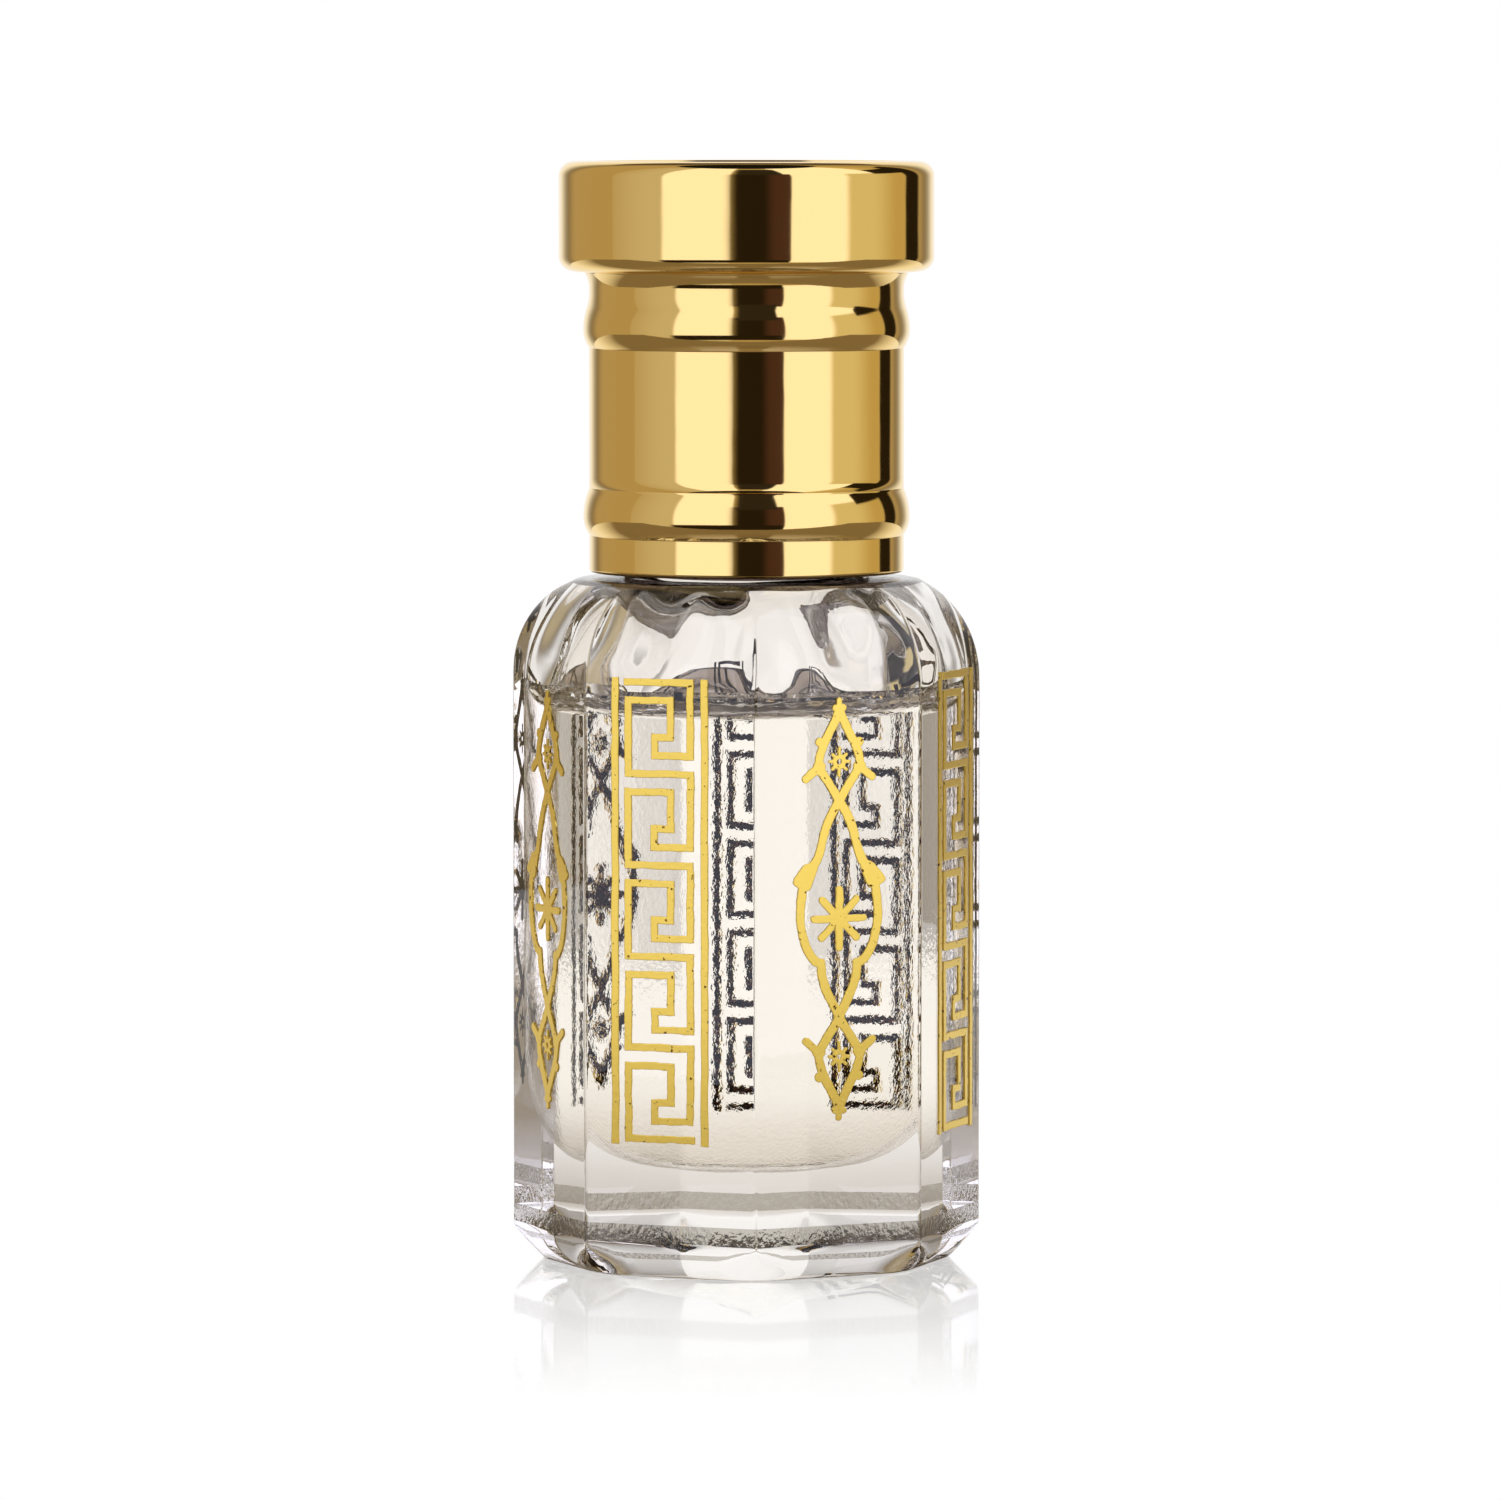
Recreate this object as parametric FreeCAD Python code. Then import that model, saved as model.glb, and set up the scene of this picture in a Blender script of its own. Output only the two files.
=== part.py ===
"""Octagonal roll-on bottle for perfume oil, about 6 ml, with a gold screw cap.

Everything is in millimetres. The origin is the middle of the foot, on the surface that
the bottle stands on, and +Z runs up the axis. The eight flats face +X, the diagonals
and +Y in turn, so a flat looks along each of the axes.

The glass bottle holds the oil and a moulded housing that is pressed into its neck. A
ball rolls in the housing. The cap is a threaded plastic inner cap inside two thin gold
shells, a collar and a skirt, with a sealing disc under its deck. Gold printing lies on
the flats: a fret on the four that face along X and Y, an ornament on the other four.
"""

import FreeCAD, Part  # FreeCAD has to come first
import math
import os

V = FreeCAD.Vector

# ---- driving dimensions ------------------------------------------------------------
OVERALL_HEIGHT = 53.9
ACROSS_FLATS = 21.25
SIDES = 8

# glass body
CORNER_ROUND = 0.4
FOOT_INSET = 1.175
FOOT_HEIGHT = 1.9
FOOT_CORNER_RADIUS = 9.95
FOOT_CORNER_HEIGHT = 1.7
SHOULDER_START = 28.8
SHOULDER_RADIUS = 5.0
SHOULDER_TOP = 33.5
PUSH_UP_RADIUS = 6.6
PUSH_UP_DEPTH = 0.45

# inside of the glass
CAVITY_RADIUS = 8.8
CAVITY_FLOOR = 4.9
CAVITY_FLOOR_DISH = 0.3
CAVITY_CORNER = 5.5
CAVITY_SHOULDER_START = 28.2
OIL_LEVEL = 26.9

# neck and screw thread
NECK_RADIUS = 5.75
NECK_BORE_RADIUS = 4.2
NECK_TOP = 43.3
NECK_FOOT_ROUND = 0.45
LIP_ROUND = 0.35
THREAD_PITCH = 2.12
THREAD_CREST_RADIUS = 6.45
THREAD_BASE_WIDTH = 1.15
THREAD_CREST_WIDTH = 0.5
NECK_THREAD_START = 37.0
NECK_THREAD_TURNS = 1.75
THREAD_SINK = 0.25
THREAD_PHASE = 33.0

# roller
BALL_RADIUS = 4.0
BALL_CENTRE = 45.7
BALL_CLEARANCE = 0.05
HOUSING_FLANGE_RADIUS = 5.55
HOUSING_FLANGE_THICKNESS = 0.7
HOUSING_CUP_RADIUS = 4.95
HOUSING_RIM_ABOVE_CENTRE = 1.7
HOUSING_RIM_CHAMFER = 0.45
HOUSING_PLUG_DEPTH = 5.6
HOUSING_PLUG_LEAD_IN = 0.5
HOUSING_WALL = 0.9
HOUSING_ORIFICE_RADIUS = 1.3

# cap
SHELL_THICKNESS = 0.35
SKIRT_RADIUS = 7.72
SKIRT_BOTTOM = 33.78
BEAD_CROWNS = (36.5, 45.66)
BEAD_BULGE = 0.29
BEAD_UPPER_BEND = 3.4
BEAD_LOWER_BEND = 1.5
BEAD_CREASE = 0.1
BEAD_HOLLOWS = (0.3, 2.2)
COLLAR_RADIUS = 9.2
COLLAR_BOTTOM = 48.5
COLLAR_ROUND = 0.75
TOP_RECESS_RADIUS = 7.3
TOP_RECESS_DEPTH = 0.25
TOP_RECESS_SLOPE = 0.3
FLARE_RADIUS = 7.98
FLARE_HEIGHT = 0.8
FLANGE_RADIUS = 8.45
INNER_CAP_BOTTOM = 34.45
INNER_CAP_BORE = 6.72
INNER_CAP_THREAD_CREST = 6.02
INNER_CAP_THREAD_BASE = 0.95
INNER_CAP_THREAD_TIP = 0.4
INNER_CAP_THREAD_TURNS = 1.5
THREAD_BEARING_GAP = 0.1
INNER_CAP_DECK = 50.6
DECK_THICKNESS = 1.2
HEAD_WALL = 1.2
LINER_RADIUS = 6.3
LINER_THICKNESS = 0.8
ASSEMBLY_GAP = 0.05

# printing
PRINT_THICKNESS = 0.05
KEY_LINE = 0.36
KEY_TOP = 29.15
KEY_BOTTOM = 6.6
KEY_UNITS = 5
KEY_BORDER = 2.3
FRET_TOP_INSET = 0.02
FRET_BOTTOM_INSET = 0.1
ORNAMENT_LINE = 0.44
ORNAMENT_CENTRE = 18.0
RIBBON_STEPS = 14

APOTHEM = ACROSS_FLATS / 2
ENVELOPE_GAP = 0.03
CORNER_REACH = (APOTHEM - CORNER_ROUND) / math.cos(math.pi / SIDES) + CORNER_ROUND
SIDE_STEP = 360.0 / SIDES


# ---- small helpers -----------------------------------------------------------------
def line(a, b):
    return Part.makeLine(V(*a), V(*b))


def arc(a, middle, b):
    return Part.Arc(V(*a), V(*middle), V(*b)).toShape()


def corner_arc(centre, radius, from_deg, to_deg):
    """A round corner in the XZ plane about centre = (x, z), drawn from one angle to the other."""

    def at(degrees):
        turn = math.radians(degrees)
        return (centre[0] + radius * math.cos(turn), 0, centre[1] + radius * math.sin(turn))

    return arc(at(from_deg), at((from_deg + to_deg) / 2), at(to_deg))


def outline(points):
    """Straight edges through (x, z) points of the XZ plane."""
    return [line((a[0], 0, a[1]), (b[0], 0, b[1])) for a, b in zip(points, points[1:])]


def turned(edges):
    """The solid that a closed outline in the XZ plane, beside the axis, sweeps about Z."""
    face = Part.Face(Part.Wire(Part.__sortEdges__(edges)))
    return face.revolve(V(0, 0, 0), V(0, 0, 1), 360)


def cylinder(radius, low, high):
    return Part.makeCylinder(radius, high - low, V(0, 0, low))


def about_axis(shape, degrees):
    copy = shape.copy()
    copy.rotate(V(0, 0, 0), V(0, 0, 1), degrees)
    return copy


def helical_ridge(root_radius, crest_radius, base_width, crest_width, start, turns):
    """A trapezoid ridge that climbs at THREAD_PITCH from start. Its flanks run on into the wall."""
    rise = abs(crest_radius - root_radius)
    buried_radius = root_radius + math.copysign(THREAD_SINK, root_radius - crest_radius)
    buried_width = base_width + (base_width - crest_width) * THREAD_SINK / rise
    helix = Part.makeHelix(THREAD_PITCH, THREAD_PITCH * turns, root_radius)
    corners = [
        V(buried_radius, 0, -buried_width / 2),
        V(crest_radius, 0, -crest_width / 2),
        V(crest_radius, 0, crest_width / 2),
        V(buried_radius, 0, buried_width / 2),
    ]
    section = Part.makePolygon(corners + corners[:1])
    ridge = Part.Wire(helix).makePipeShell([section], True, True)
    ridge.translate(V(0, 0, start))
    return about_axis(ridge, THREAD_PHASE)


# ---- glass bottle ------------------------------------------------------------------
def faceted_body():
    """The octagonal block: one side view, extruded across and met with itself in each direction."""
    bend = (FOOT_INSET**2 + FOOT_HEIGHT**2) / (2 * FOOT_INSET)
    sweep = math.degrees(math.asin(FOOT_HEIGHT / bend))
    right = [corner_arc((APOTHEM - bend, FOOT_HEIGHT), bend, -sweep, 0)]
    right += outline([(APOTHEM, FOOT_HEIGHT), (APOTHEM, SHOULDER_TOP)])
    left = [edge.mirror(V(0, 0, 0), V(1, 0, 0)) for edge in right]
    standing = APOTHEM - FOOT_INSET
    closing = outline([(-standing, 0), (standing, 0)])
    closing += outline([(-APOTHEM, SHOULDER_TOP), (APOTHEM, SHOULDER_TOP)])
    side_view = Part.Face(Part.Wire(Part.__sortEdges__(right + left + closing)))
    reach = 2 * APOTHEM
    slab = side_view.extrude(V(0, 2 * reach, 0))
    slab.translate(V(0, -reach, 0))
    body = slab
    for step in range(1, SIDES // 2):
        body = body.common(about_axis(slab, step * SIDE_STEP))
    return body


def rounded_corners(body):
    """Rounds every edge where two neighbouring sides meet, down to the floor."""
    corners = [edge for edge in body.Edges if edge.BoundBox.ZLength > FOOT_HEIGHT / 2]
    return body.makeFillet(CORNER_ROUND, corners)


def round_envelope():
    """The turned shape that trims the block: a cone at the foot's corners and a dome at the shoulder."""
    reach = CORNER_REACH + ENVELOPE_GAP
    lean = math.degrees(math.asin((SHOULDER_TOP - SHOULDER_START) / SHOULDER_RADIUS))
    centre = (reach - SHOULDER_RADIUS, SHOULDER_START)
    top_radius = centre[0] + SHOULDER_RADIUS * math.cos(math.radians(lean))
    edges = outline([(FOOT_CORNER_RADIUS, 0), (reach, FOOT_CORNER_HEIGHT), (reach, SHOULDER_START)])
    edges.append(corner_arc(centre, SHOULDER_RADIUS, 0, lean))
    edges += outline([(top_radius, SHOULDER_TOP), (0, SHOULDER_TOP), (0, 0), (FOOT_CORNER_RADIUS, 0)])
    return turned(edges)


def cavity_edges(level):
    """The inside's outline up to level, closed along the axis."""
    side = CAVITY_RADIUS
    corner_z = CAVITY_FLOOR + CAVITY_CORNER
    floor_radius = side - CAVITY_CORNER
    lowest = CAVITY_FLOOR - CAVITY_FLOOR_DISH
    dish_middle = (floor_radius / 2, 0, CAVITY_FLOOR - 0.75 * CAVITY_FLOOR_DISH)
    edges = [
        arc((0, 0, lowest), dish_middle, (floor_radius, 0, CAVITY_FLOOR)),
        corner_arc((floor_radius, corner_z), CAVITY_CORNER, -90, 0),
    ]
    return edges + outline([(side, corner_z), (side, level), (0, level), (0, lowest)])


def cavity():
    """The space inside the body and neck."""
    lower = turned(cavity_edges(CAVITY_SHOULDER_START))
    shoulder = CAVITY_RADIUS - NECK_BORE_RADIUS
    dome_top = CAVITY_SHOULDER_START + shoulder
    edges = [corner_arc((NECK_BORE_RADIUS, CAVITY_SHOULDER_START), shoulder, 0, 90)]
    edges += outline(
        [
            (NECK_BORE_RADIUS, dome_top),
            (0, dome_top),
            (0, CAVITY_SHOULDER_START),
            (CAVITY_RADIUS, CAVITY_SHOULDER_START),
        ]
    )
    bore = cylinder(NECK_BORE_RADIUS, dome_top - 1, NECK_TOP + 1)
    return lower.fuse(turned(edges)).fuse(bore)


def push_up():
    """The shallow dome in the underside, cut by a ball."""
    ball_radius = (PUSH_UP_RADIUS**2 + PUSH_UP_DEPTH**2) / (2 * PUSH_UP_DEPTH)
    return Part.makeSphere(ball_radius, V(0, 0, PUSH_UP_DEPTH - ball_radius))


def neck():
    root = SHOULDER_TOP
    post = cylinder(NECK_RADIUS, SHOULDER_START, NECK_TOP)
    post = post.makeFillet(LIP_ROUND, [e for e in post.Edges if e.BoundBox.ZMin > NECK_TOP - 0.01])
    r = NECK_FOOT_ROUND
    fillet = [corner_arc((NECK_RADIUS + r, root + r), r, 180, 270)]
    fillet += outline(
        [
            (NECK_RADIUS + r, root),
            (NECK_RADIUS + r, root - r),
            (NECK_RADIUS - r, root - r),
            (NECK_RADIUS - r, root + r),
            (NECK_RADIUS, root + r),
        ]
    )
    return post.fuse(turned(fillet))


def glass_bottle():
    body = rounded_corners(faceted_body()).common(round_envelope())
    ridge = helical_ridge(
        NECK_RADIUS,
        THREAD_CREST_RADIUS,
        THREAD_BASE_WIDTH,
        THREAD_CREST_WIDTH,
        NECK_THREAD_START,
        NECK_THREAD_TURNS,
    )
    whole = body.fuse(neck()).fuse(ridge)
    return whole.cut(cavity()).cut(push_up()).removeSplitter()


def perfume_oil():
    return turned(cavity_edges(OIL_LEVEL))


# ---- roller ------------------------------------------------------------------------
def roller_housing():
    """Plug, flange and cup in one moulding. The cup closes past the ball's middle and keeps it in."""
    plug_bottom = NECK_TOP - HOUSING_PLUG_DEPTH
    flange_top = NECK_TOP + HOUSING_FLANGE_THICKNESS
    rim = BALL_CENTRE + HOUSING_RIM_ABOVE_CENTRE
    blank = turned(
        outline(
            [
                (0, plug_bottom),
                (NECK_BORE_RADIUS - HOUSING_PLUG_LEAD_IN, plug_bottom),
                (NECK_BORE_RADIUS, plug_bottom + HOUSING_PLUG_LEAD_IN),
                (NECK_BORE_RADIUS, NECK_TOP),
                (HOUSING_FLANGE_RADIUS, NECK_TOP),
                (HOUSING_FLANGE_RADIUS, flange_top),
                (HOUSING_CUP_RADIUS, flange_top),
                (HOUSING_CUP_RADIUS, rim - HOUSING_RIM_CHAMFER),
                (HOUSING_CUP_RADIUS - HOUSING_RIM_CHAMFER, rim),
                (0, rim),
                (0, plug_bottom),
            ]
        )
    )
    socket = Part.makeSphere(BALL_RADIUS + BALL_CLEARANCE, V(0, 0, BALL_CENTRE))
    orifice = cylinder(HOUSING_ORIFICE_RADIUS, plug_bottom - 1, BALL_CENTRE)
    well_top = BALL_CENTRE - BALL_RADIUS - HOUSING_WALL
    well = cylinder(NECK_BORE_RADIUS - HOUSING_WALL, plug_bottom - 1, well_top)
    return blank.cut(socket).cut(orifice).cut(well)


def roller_ball():
    return Part.makeSphere(BALL_RADIUS, V(0, 0, BALL_CENTRE))


# ---- cap ---------------------------------------------------------------------------
def bead_reach(bend, hollow):
    """How far along the wall a bead's arc and the hollow that leads into it run from its crown."""
    return math.sqrt(2 * (bend + hollow) * BEAD_BULGE - BEAD_BULGE**2)


def bead_path(crown, radius, hollow):
    """One bead of the skirt: a tight curve below its crown, a slow one above, then a hollow."""
    low = bead_reach(BEAD_LOWER_BEND, BEAD_CREASE)
    high = bead_reach(BEAD_UPPER_BEND, hollow)
    low_sweep = math.degrees(math.asin(low / (BEAD_LOWER_BEND + BEAD_CREASE)))
    high_sweep = math.degrees(math.asin(high / (BEAD_UPPER_BEND + hollow)))
    peak = radius + BEAD_BULGE
    return [
        corner_arc((radius + BEAD_CREASE, crown - low), BEAD_CREASE, 180, 180 - low_sweep),
        corner_arc((peak - BEAD_LOWER_BEND, crown), BEAD_LOWER_BEND, -low_sweep, 0),
        corner_arc((peak - BEAD_UPPER_BEND, crown), BEAD_UPPER_BEND, 0, high_sweep),
        corner_arc((radius + hollow, crown + high), hollow, 180 + high_sweep, 180),
    ]


def skirt_side(radius, flange_z, flange_radius):
    """One face of the skirt's sheet, from the open bottom edge up to the flange."""
    flare = FLARE_RADIUS - SKIRT_RADIUS + radius
    flare_start = COLLAR_BOTTOM - FLARE_HEIGHT
    edges = []
    wall_from = SKIRT_BOTTOM
    for crown, hollow in zip(BEAD_CROWNS, BEAD_HOLLOWS):
        bead_from = crown - bead_reach(BEAD_LOWER_BEND, BEAD_CREASE)
        edges += outline([(radius, wall_from), (radius, bead_from)])
        edges += bead_path(crown, radius, hollow)
        wall_from = crown + bead_reach(BEAD_UPPER_BEND, hollow)
    edges += outline([(radius, wall_from), (radius, flare_start)])
    lean = (flare - radius) * 0.3
    middle = (radius + lean, 0, COLLAR_BOTTOM - 0.4 * FLARE_HEIGHT)
    edges.append(arc((radius, 0, flare_start), middle, (flare, 0, COLLAR_BOTTOM)))
    return edges + outline([(flare, COLLAR_BOTTOM), (flare, flange_z), (flange_radius, flange_z)])


def cap_skirt():
    lip_top = COLLAR_BOTTOM + SHELL_THICKNESS
    flange_low = lip_top + ASSEMBLY_GAP
    flange_high = flange_low + SHELL_THICKNESS
    outer = skirt_side(SKIRT_RADIUS, flange_low, FLANGE_RADIUS)
    inner = skirt_side(SKIRT_RADIUS - SHELL_THICKNESS, flange_high, FLANGE_RADIUS)
    closing = outline([(SKIRT_RADIUS - SHELL_THICKNESS, SKIRT_BOTTOM), (SKIRT_RADIUS, SKIRT_BOTTOM)])
    closing += outline([(FLANGE_RADIUS, flange_low), (FLANGE_RADIUS, flange_high)])
    return turned(outer + inner + closing)


def cap_collar():
    """A drawn cup, upside down: recessed top, rounded rim, and a bottom lip rolled in under the flange."""
    r, t = COLLAR_RADIUS, SHELL_THICKNESS
    low, high, big = COLLAR_BOTTOM, OVERALL_HEIGHT, COLLAR_ROUND
    small = big - t
    lip = FLARE_RADIUS + ASSEMBLY_GAP
    recess = high - TOP_RECESS_DEPTH
    slope = TOP_RECESS_SLOPE
    edges = outline([(lip, low), (r - big, low)])
    edges.append(corner_arc((r - big, low + big), big, -90, 0))
    edges += outline([(r, low + big), (r, high - big)])
    edges.append(corner_arc((r - big, high - big), big, 0, 90))
    edges += outline(
        [
            (r - big, high),
            (TOP_RECESS_RADIUS + slope, high),
            (TOP_RECESS_RADIUS, recess),
            (0, recess),
            (0, recess - t),
            (TOP_RECESS_RADIUS + 0.1, recess - t),
            (TOP_RECESS_RADIUS + 0.1 + slope, high - t),
            (r - big, high - t),
        ]
    )
    edges.append(corner_arc((r - big, high - big), small, 90, 0))
    edges += outline([(r - t, high - big), (r - t, low + big)])
    edges.append(corner_arc((r - big, low + big), small, 0, -90))
    edges += outline([(r - big, low + t), (lip, low + t), (lip, low)])
    return turned(edges)


def inner_cap():
    """Threaded tube with a wide head that fills the collar and carries its top."""
    outer = SKIRT_RADIUS - SHELL_THICKNESS - ASSEMBLY_GAP
    head_low = COLLAR_BOTTOM + 2 * SHELL_THICKNESS + 2 * ASSEMBLY_GAP
    head_high = OVERALL_HEIGHT - TOP_RECESS_DEPTH - SHELL_THICKNESS - ASSEMBLY_GAP
    head_radius = COLLAR_RADIUS - SHELL_THICKNESS - 2 * ASSEMBLY_GAP
    deck_top = INNER_CAP_DECK + DECK_THICKNESS
    tube = turned(
        outline(
            [
                (INNER_CAP_BORE, INNER_CAP_BOTTOM),
                (outer, INNER_CAP_BOTTOM),
                (outer, head_low),
                (head_radius, head_low),
                (head_radius, head_high),
                (head_radius - HEAD_WALL, head_high),
                (head_radius - HEAD_WALL, deck_top),
                (0, deck_top),
                (0, INNER_CAP_DECK),
                (INNER_CAP_BORE, INNER_CAP_DECK),
                (INNER_CAP_BORE, INNER_CAP_BOTTOM),
            ]
        )
    )
    half_flank = (THREAD_BASE_WIDTH + THREAD_CREST_WIDTH) / 4
    half_flank += (INNER_CAP_THREAD_BASE + INNER_CAP_THREAD_TIP) / 4
    ridge = helical_ridge(
        INNER_CAP_BORE,
        INNER_CAP_THREAD_CREST,
        INNER_CAP_THREAD_BASE,
        INNER_CAP_THREAD_TIP,
        NECK_THREAD_START - half_flank - THREAD_BEARING_GAP,
        INNER_CAP_THREAD_TURNS,
    )
    return tube.fuse(ridge).removeSplitter()


def sealing_liner():
    return cylinder(LINER_RADIUS, INNER_CAP_DECK - LINER_THICKNESS, INNER_CAP_DECK)


# ---- printing ----------------------------------------------------------------------
# Prints are drawn on the XZ plane as (across, up) points, and stand out towards -Y.
def flat_points(points):
    return [V(x, 0, z) for x, z in points]


def bar(start, end, width):
    """An upright or level line of that width, with square ends that reach half the width further."""
    half = width / 2
    low_x, high_x = sorted((start[0], end[0]))
    low_z, high_z = sorted((start[1], end[1]))
    corners = [
        (low_x - half, low_z - half),
        (low_x - half, high_z + half),
        (high_x + half, high_z + half),
        (high_x + half, low_z - half),
    ]
    return Part.Face(Part.makePolygon(flat_points(corners + corners[:1])))


def stroke(start, end, width):
    """A straight line of that width with round ends."""
    a, b = flat_points([start, end])
    along = (b - a).normalize() * (width / 2)
    aside = V(-along.z, 0, along.x)
    edges = [
        Part.makeLine(a + aside, b + aside),
        Part.Arc(b + aside, b + along, b - aside).toShape(),
        Part.makeLine(b - aside, a - aside),
        Part.Arc(a - aside, a - along, a + aside).toShape(),
    ]
    return Part.Face(Part.Wire(edges))


def smooth(points):
    curve = Part.BSplineCurve()
    curve.interpolate(points)
    return curve


def ribbon(points, width):
    """A smooth curve of that width through the points, with round ends."""
    spine = smooth(flat_points(points))
    start, end = spine.FirstParameter, spine.LastParameter
    rails = {1: [], -1: []}
    for step in range(RIBBON_STEPS + 1):
        at = start + (end - start) * step / RIBBON_STEPS
        along = spine.tangent(at)[0]
        aside = V(-along.z, 0, along.x) * (width / 2)
        for side, rail in rails.items():
            rail.append(spine.value(at) + aside * side)
    left, right = rails[1], rails[-1][::-1]
    start_cap = spine.value(start) - spine.tangent(start)[0] * (width / 2)
    end_cap = spine.value(end) + spine.tangent(end)[0] * (width / 2)
    edges = [
        smooth(left).toShape(),
        Part.Arc(left[-1], end_cap, right[0]).toShape(),
        smooth(right).toShape(),
        Part.Arc(right[-1], start_cap, left[0]).toShape(),
    ]
    return Part.Face(Part.Wire(edges))


def blob(points):
    """A patch inside a smooth closed curve through the points."""
    curve = Part.BSplineCurve()
    curve.interpolate(Points=flat_points(points), PeriodicFlag=True)
    return Part.Face(Part.Wire(curve.toShape()))


def dot(x, z, radius):
    return Part.Face(Part.Wire(Part.makeCircle(radius, V(x, 0, z), V(0, 1, 0))))


def printed(faces):
    """One thin solid from patches that run into each other."""
    layers = [face.extrude(V(0, -PRINT_THICKNESS, 0)) for face in faces]
    if len(layers) == 1:
        return layers[0]
    return layers[0].multiFuse(layers[1:]).removeSplitter()


def mirrored(points, across=-1, up=1):
    return [(across * x, up * z) for x, z in points]


def fret_path(pitch, top):
    """One unbroken line: each unit is a bar, a drop on the right, a hook, and a drop on the left."""
    left, hook_left, hook_right, right = -1.62, -0.27, 0.56, 1.57
    overrun = 0.06
    path = [(left - overrun, top)]
    for unit in range(KEY_UNITS):
        z = top - unit * pitch
        path += [
            (right, z),
            (right, z - 0.8 * pitch),
            (hook_left, z - 0.8 * pitch),
            (hook_left, z - 0.6 * pitch),
            (hook_right, z - 0.6 * pitch),
            (hook_right, z - 0.2 * pitch),
            (left, z - 0.2 * pitch),
            (left, z - pitch),
        ]
    path.append((right + overrun, top - KEY_UNITS * pitch))
    return path


def fret():
    """The fret and its two border lines, centred across the flat."""
    first_bar = KEY_TOP - FRET_TOP_INSET - KEY_LINE / 2
    last_bar = KEY_BOTTOM + FRET_BOTTOM_INSET + KEY_LINE / 2
    pitch = (first_bar - last_bar) / KEY_UNITS
    path = fret_path(pitch, first_bar)
    solids = [printed([bar(a, b, KEY_LINE) for a, b in zip(path, path[1:])])]
    for x in (-KEY_BORDER, KEY_BORDER):
        ends = (x, KEY_TOP - KEY_LINE / 2), (x, KEY_BOTTOM + KEY_LINE / 2)
        solids.append(printed([bar(*ends, KEY_LINE)]))
    return Part.makeCompound(solids)


def rays(z, count, length, width, start_deg=0.0):
    """Round-ended strokes that radiate from a point on the ornament's middle line."""
    strokes = []
    for step in range(count):
        turn = math.radians(start_deg + 360.0 * step / count)
        tip = (length * math.cos(turn), z + length * math.sin(turn))
        strokes.append(stroke((0, z), tip, width))
    return strokes


def diamond(up):
    """One end of the frame, up = 1 for the top or -1 for the bottom: arms, ears, bumps and finial."""
    arm = [(0.05, 9.5), (0.4, 8.78), (0.8, 8.05), (1.03, 7.4), (1.1, 6.8)]
    foot = [(1.13, 6.93), (0.5, 6.0), (-0.06, 5.16)]
    ear = [(1.05, 6.9), (1.75, 6.35)]
    faces = [stroke((0, up * 9.5), (0, up * 10.1), 0.28)]
    for across in (1, -1):
        faces.append(ribbon(mirrored(arm, across, up), ORNAMENT_LINE))
        faces.append(ribbon(mirrored(foot, across, up), ORNAMENT_LINE))
        faces.append(stroke(*mirrored(ear, across, up), 0.4))
        faces.append(dot(across * 1.07, up * 6.87, 0.33))
        faces.append(dot(across * 1.05, up * 8.08, 0.23))
        faces.append(dot(across * 0.2, up * 9.72, 0.17))
    return faces


def lobed_body():
    """The long middle of the frame, which narrows to a crossing at each end."""
    shoulder = [(-0.07, 5.33), (0.4, 4.6), (0.75, 3.8), (1.0, 2.95), (1.2, 2.4), (1.6, 1.95)]
    lobe = [(1.3, 2.3), (1.8, 2.2), (2.2, 1.78), (2.44, 1.33), (2.15, 1.1), (1.65, 0.95), (1.33, 1.5)]
    belly = [(1.85, 1.6), (1.98, 0.8), (2.06, -0.2), (1.98, -1.0), (1.72, -1.85), (1.37, -2.4)]
    belly.append((0.98, -2.62))
    waist = [(0.95, -2.6), (0.9, -3.2), (0.62, -4.0), (-0.07, -5.33)]
    faces = []
    for across in (1, -1):
        faces += [ribbon(mirrored(curve, across), ORNAMENT_LINE) for curve in (shoulder, belly, waist)]
        faces.append(blob(mirrored(lobe, across)))
    return faces


def flower(z):
    """A small ring with eight points."""
    petals = rays(z, 8, 0.5, 0.16) + rays(z, 2, 0.68, 0.14, 90)
    ring = printed(petals + [dot(0, z, 0.36)])
    hole = Part.makeCylinder(0.13, 1, V(0, 0.5, z), V(0, -1, 0))
    return ring.cut(hole)


def ornament():
    """The arabesque: a lobed frame between two small diamonds, with a star and two flowers inside."""
    star_height = -0.44
    frame = printed(diamond(1) + diamond(-1) + lobed_body())
    star = rays(star_height, 8, 1.3, 0.36) + rays(star_height, 2, 1.38, 0.4, 90)
    pieces = [frame, printed(star + [dot(0, star_height, 0.5)]), flower(7.12), flower(-7.12)]
    whole = Part.makeCompound(pieces)
    whole.translate(V(0, 0, ORNAMENT_CENTRE))
    return whole


def on_flat(shape, degrees, drift=0.0):
    """Stands a print drawn at Y = 0 on a flat. 0 degrees is the flat that faces -Y."""
    placed = shape.copy()
    placed.translate(V(drift, -APOTHEM, 0))
    return about_axis(placed, degrees)


# ---- build -------------------------------------------------------------------------
# each print sits a little off the middle of its flat, as the screen left it
KEY_FLATS = {"front": (0, -0.5), "right": (90, 0.55), "back": (180, 0.3), "left": (270, 0.15)}
ORNAMENT_FLATS = {
    "front_right": (45, 0.0),
    "back_right": (135, 0.1),
    "back_left": (225, 0.8),
    "front_left": (315, 0.05),
}


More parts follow.
